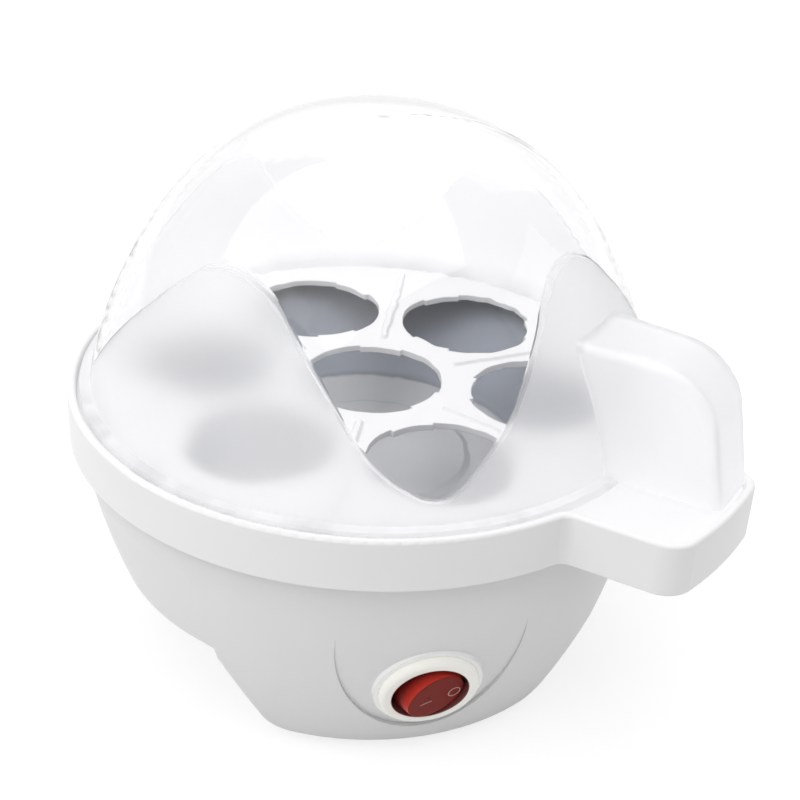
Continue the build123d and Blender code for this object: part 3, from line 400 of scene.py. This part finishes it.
metals = {
    "fixing_steel": dict(colour=(0.62, 0.62, 0.6), rough=0.34),
    "heater_steel": dict(colour=(0.3, 0.27, 0.24), rough=0.46, tone=0.25),
    "spreader_aluminium": dict(colour=(0.72, 0.73, 0.74), rough=0.38, stretch=(1, 8, 1)),
    "fuse_metal": dict(colour=(0.7, 0.6, 0.4), rough=0.3),
    "contact_brass": dict(colour=(0.72, 0.5, 0.2), rough=0.3, tone=0.1),
}
finishes = {
    "lid_clear": clear_lid(),
    "pan_steel": spun_steel(),
    "rocker_red": rocker_red(),
    "lamp_glass": glass("lamp_glass", (0.98, 0.92, 0.86), 0.03),
}
finishes.update((name, plastic(name, **look)) for name, look in plastics.items())
finishes.update((name, metal(name, **look)) for name, look in metals.items())
for part in frame["record"]["subparts"]:
    slots = nodes[part["node"]].data.materials
    for index in range(len(slots)):
        slots[index] = finishes[part["material_slot"]]

# Marks on the rocker: a bar for on and a ring for off, laid on its face
mark_paint = plastic("mark_paint", (0.5, 0.24, 0.21), 0.45, tone=0.04)
rocker_tree = BVHTree.FromObject(nodes["switch_rocker"], bpy.context.evaluated_depsgraph_get())
mark_rise = 0.00008
mark_width = 0.0004
clear_of_rocker = 0.03
# Section of a mark: share of its half width, and height over the face in steps of mark_rise
mark_section = ((-1, -2.0), (-0.8, 0.6), (0, 1.0), (0.8, 0.6), (1, -2.0))


def on_rocker(across, up):
    above = switch_hinge + switch_across * across + switch_up * up + switch_out * clear_of_rocker
    hit, normal, _, _ = rocker_tree.ray_cast(above, -switch_out)
    return hit, normal


def strip(name, line, closed):
    """A thin raised strip that follows points on the rocker's face."""
    mesh = bmesh.new()
    count = len(line)
    rings = []
    for i, (across, up) in enumerate(line):
        before = line[i - 1 if closed or i else i]
        after = line[(i + 1) % count if closed or i < count - 1 else i]
        way = Vector((after[0] - before[0], after[1] - before[1])).normalized()
        side = Vector((-way.y, way.x)) * mark_width / 2
        ring = []
        for share, lift in mark_section:
            point, normal = on_rocker(across + side.x * share, up + side.y * share)
            ring.append(mesh.verts.new(point + normal * mark_rise * lift))
        rings.append(ring)
    corners = len(mark_section)
    for i in range(count if closed else count - 1):
        first, second = rings[i], rings[(i + 1) % count]
        for j in range(corners):
            k = (j + 1) % corners
            mesh.faces.new((first[j], first[k], second[k], second[j]))
    if not closed:
        mesh.faces.new(rings[0])
        mesh.faces.new(reversed(rings[-1]))
    bmesh.ops.recalc_face_normals(mesh, faces=mesh.faces)
    data = bpy.data.meshes.new(name)
    mesh.to_mesh(data)
    mesh.free()
    data.materials.append(mark_paint)
    for face in data.polygons:
        face.use_smooth = True
    made = bpy.data.objects.new(name, data)
    scene.collection.objects.link(made)
    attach(made, "rocker")


ring_across, ring_up, ring_radius, ring_steps = 0.0065, -0.001, 0.0016, 40
ring_angles = [2 * pi * i / ring_steps for i in range(ring_steps)]
ring_line = [(ring_across + ring_radius * cos(a), ring_up + ring_radius * sin(a)) for a in ring_angles]
strip("off_mark", ring_line, True)
bar_start, bar_end, bar_steps = Vector((-0.003, -0.0014)), Vector((0.0003, -0.0013)), 8
strip("on_mark", [tuple(bar_start.lerp(bar_end, i / bar_steps)) for i in range(bar_steps + 1)], False)

# Camera at the photograph's viewing angle
camera_turn = Matrix.Rotation(radians(-15.6), 3, "Z")
camera_rise, camera_roll = radians(29.49), radians(3.46)
camera_distance = 0.417
camera_target = camera_turn @ Vector((0.00805, 0.0, 0.06973))
level_right = camera_turn @ Vector((1, 0, 0))
level_up = camera_turn @ Vector((0, sin(camera_rise), cos(camera_rise)))
backwards = camera_turn @ Vector((0, -cos(camera_rise), sin(camera_rise)))
camera_right = level_right * cos(camera_roll) + level_up * sin(camera_roll)
camera_up = level_up * cos(camera_roll) - level_right * sin(camera_roll)
lens = bpy.data.cameras.new("camera")
lens.lens, lens.sensor_width = 67.5, 36.0
lens.clip_start, lens.clip_end = 0.01, 50.0
camera = bpy.data.objects.new("camera", lens)
scene.collection.objects.link(camera)
camera_place = Matrix.Translation(camera_target + backwards * camera_distance)
camera_axes = Matrix((camera_right, camera_up, backwards)).transposed().to_4x4()
camera.matrix_world = camera_place @ camera_axes
scene.camera = camera


# White surroundings, with the floor keeping the object's shadow
def seen_share(tree):
    path = add(tree, "LightPath").outputs
    first = maths(tree, "MAXIMUM", path["Is Camera Ray"], path["Is Glossy Ray"])
    return maths(tree, "MAXIMUM", first, path["Is Transmission Ray"])


world = bpy.data.worlds.new("studio")
scene.world = world
world.use_nodes = True
world.node_tree.nodes.clear()
sky = world.node_tree
dim = add(sky, "Background", Color=(1, 1, 1, 1), Strength=0.33)
white = add(sky, "Background", Color=(1, 1, 1, 1), Strength=1.0)
seen = add(sky, "MixShader", seen_share(sky), dim.outputs[0], white.outputs[0])
add(sky, "OutputWorld", Surface=seen.outputs[0])

floor_half = 4.0
near_reach, far_reach = 0.35, 1.5
near_glow, far_glow = 0.78, 1.0
floor_paint, floor_tree = start("floor_white")
matt = add(floor_tree, "BsdfDiffuse", Color=(0.8, 0.8, 0.8, 1))
shadow_catch = add(floor_tree, "BsdfDiffuse", Color=(0.27, 0.27, 0.27, 1))
reach = vector_maths(floor_tree, "LENGTH", object_point(floor_tree))
glow_strength = ramp(floor_tree, reach, near_reach, far_reach, near_glow, far_glow)
glow = add(floor_tree, "Emission", Color=(1, 1, 1, 1), Strength=glow_strength)
pale = add(floor_tree, "AddShader", shadow_catch.outputs[0], glow.outputs[0])
floor_seen = add(floor_tree, "MixShader", seen_share(floor_tree), matt.outputs[0], pale.outputs[0])
end(floor_tree, floor_seen.outputs[0])
sheet = bpy.data.meshes.new("floor")
sheet.from_pydata(
    [(x * floor_half, y * floor_half, 0.0) for x, y in ((-1, -1), (1, -1), (1, 1), (-1, 1))],
    [],
    [(0, 1, 2, 3)],
)
sheet.materials.append(floor_paint)
floor = bpy.data.objects.new("floor", sheet)
scene.collection.objects.link(floor)

light_aim = Vector((0, 0, 0.07))


def softbox(name, place, width, height, power):
    data = bpy.data.lights.new(name, "AREA")
    data.shape, data.size, data.size_y, data.energy = "RECTANGLE", width, height, power
    made = bpy.data.objects.new(name, data)
    scene.collection.objects.link(made)
    made.location = place
    made.visible_glossy = False
    made.rotation_euler = (light_aim - Vector(place)).to_track_quat("-Z", "Y").to_euler()


softbox("top_light", (-0.3, -0.1, 1.3), 2.0, 2.0, 22.3)
softbox("left_light", (-1.25, -0.3, 0.7), 1.2, 1.0, 3.8)
softbox("right_light", (1.2, -0.25, 0.5), 1.0, 0.8, 2.0)
softbox("back_light", (0.5, 0.9, 0.8), 1.2, 0.8, 2.0)

scene.view_settings.view_transform = "Standard"
